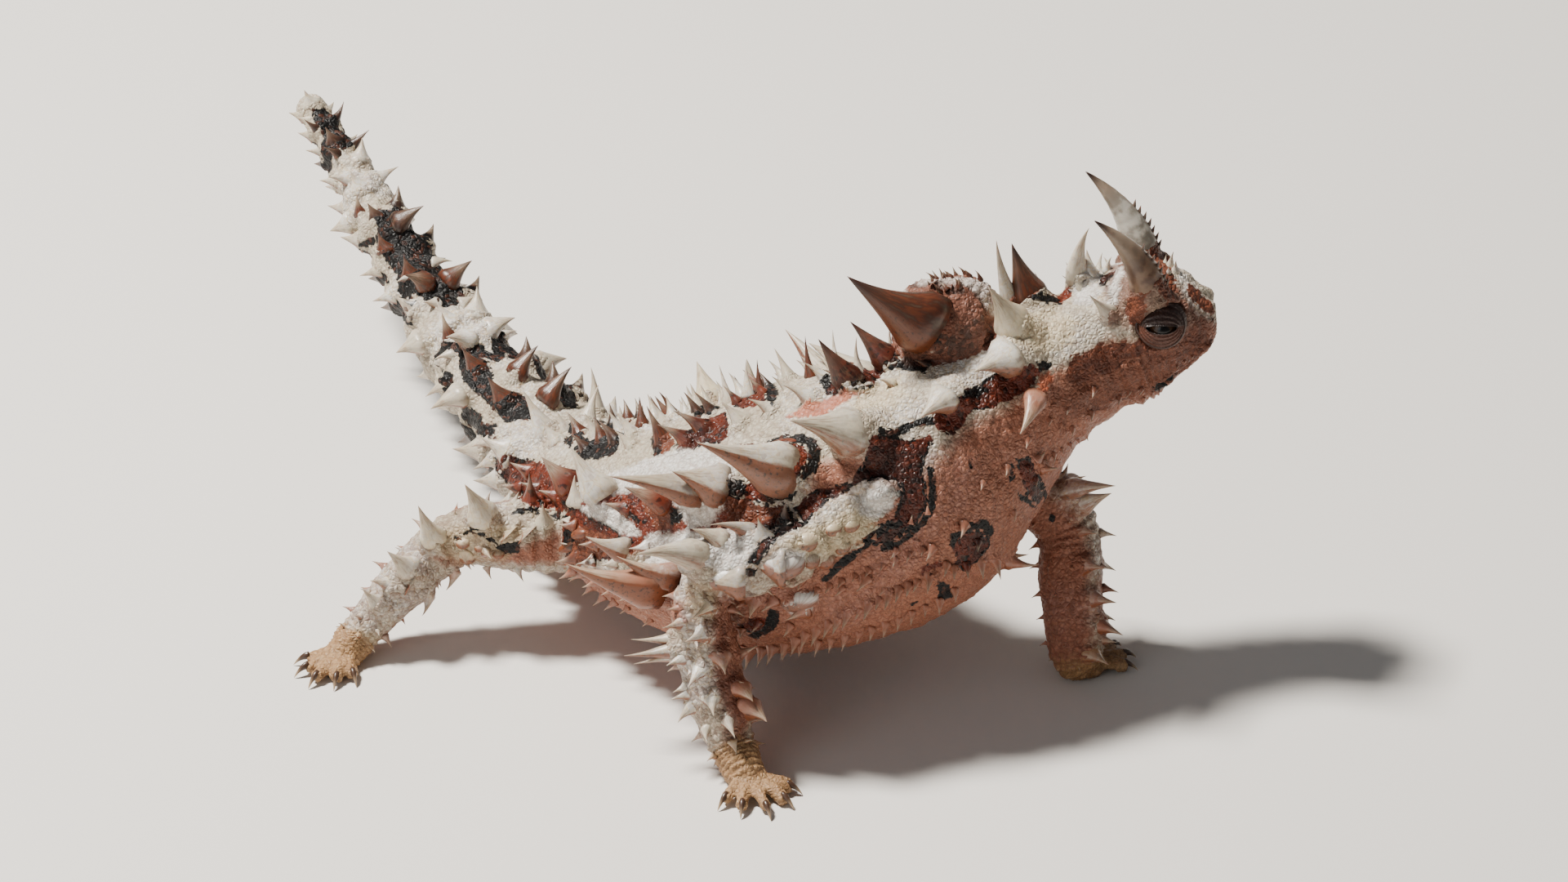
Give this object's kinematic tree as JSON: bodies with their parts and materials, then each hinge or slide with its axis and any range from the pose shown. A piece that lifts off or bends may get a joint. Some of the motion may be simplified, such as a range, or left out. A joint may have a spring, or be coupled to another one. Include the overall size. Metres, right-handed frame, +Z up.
{
  "type": "thorny devil",
  "caption": "Life-size still model of a thorny desert lizard standing high on its front legs, head raised, tail curved up behind, covered in thorns.",
  "frame": {"origin": "middle of the model's box, on the floor that its feet stand on", "axes": "+X the way the trunk faces, +Y the animal's left, +Z up"},
  "size_m": [0.1492, 0.096, 0.066],
  "materials": {
    "skin": "granular lizard skin, cream ground with rust-brown, black-edged bands, satin",
    "limb_skin": "granular lizard skin, cream with dark flecks, satin",
    "feet": "sand-coloured folded skin, matt",
    "knob": "brown scaly skin with a grey crest, satin",
    "horn": "smooth horn, grey-brown with a dark tip, half gloss",
    "thorn": "smooth thorn scales in the colour of their band, pale tips, half gloss",
    "claw": "dark smooth claw",
    "eye": "dark wet eye"
  },
  "bodies": {
    "root": {"tail_tip": "skin", "tail_middle": "skin", "tail_base": "skin", "hips": "skin", "belly": "skin", "chest": "skin", "neck": "skin", "head": "skin", "upper_arm_right": "limb_skin", "upper_arm_left": "limb_skin", "forearm_right": "limb_skin", "forearm_left": "limb_skin", "hand_right": "feet", "hand_left": "feet", "thigh_right": "limb_skin", "thigh_left": "limb_skin", "shank_right": "limb_skin", "shank_left": "limb_skin", "foot_right": "feet", "foot_left": "feet", "nape_knob": "knob", "brow_horn_right": "horn", "eye_right": "eye", "brow_horn_left": "horn", "eye_left": "eye"}
  },
  "joints": []
}
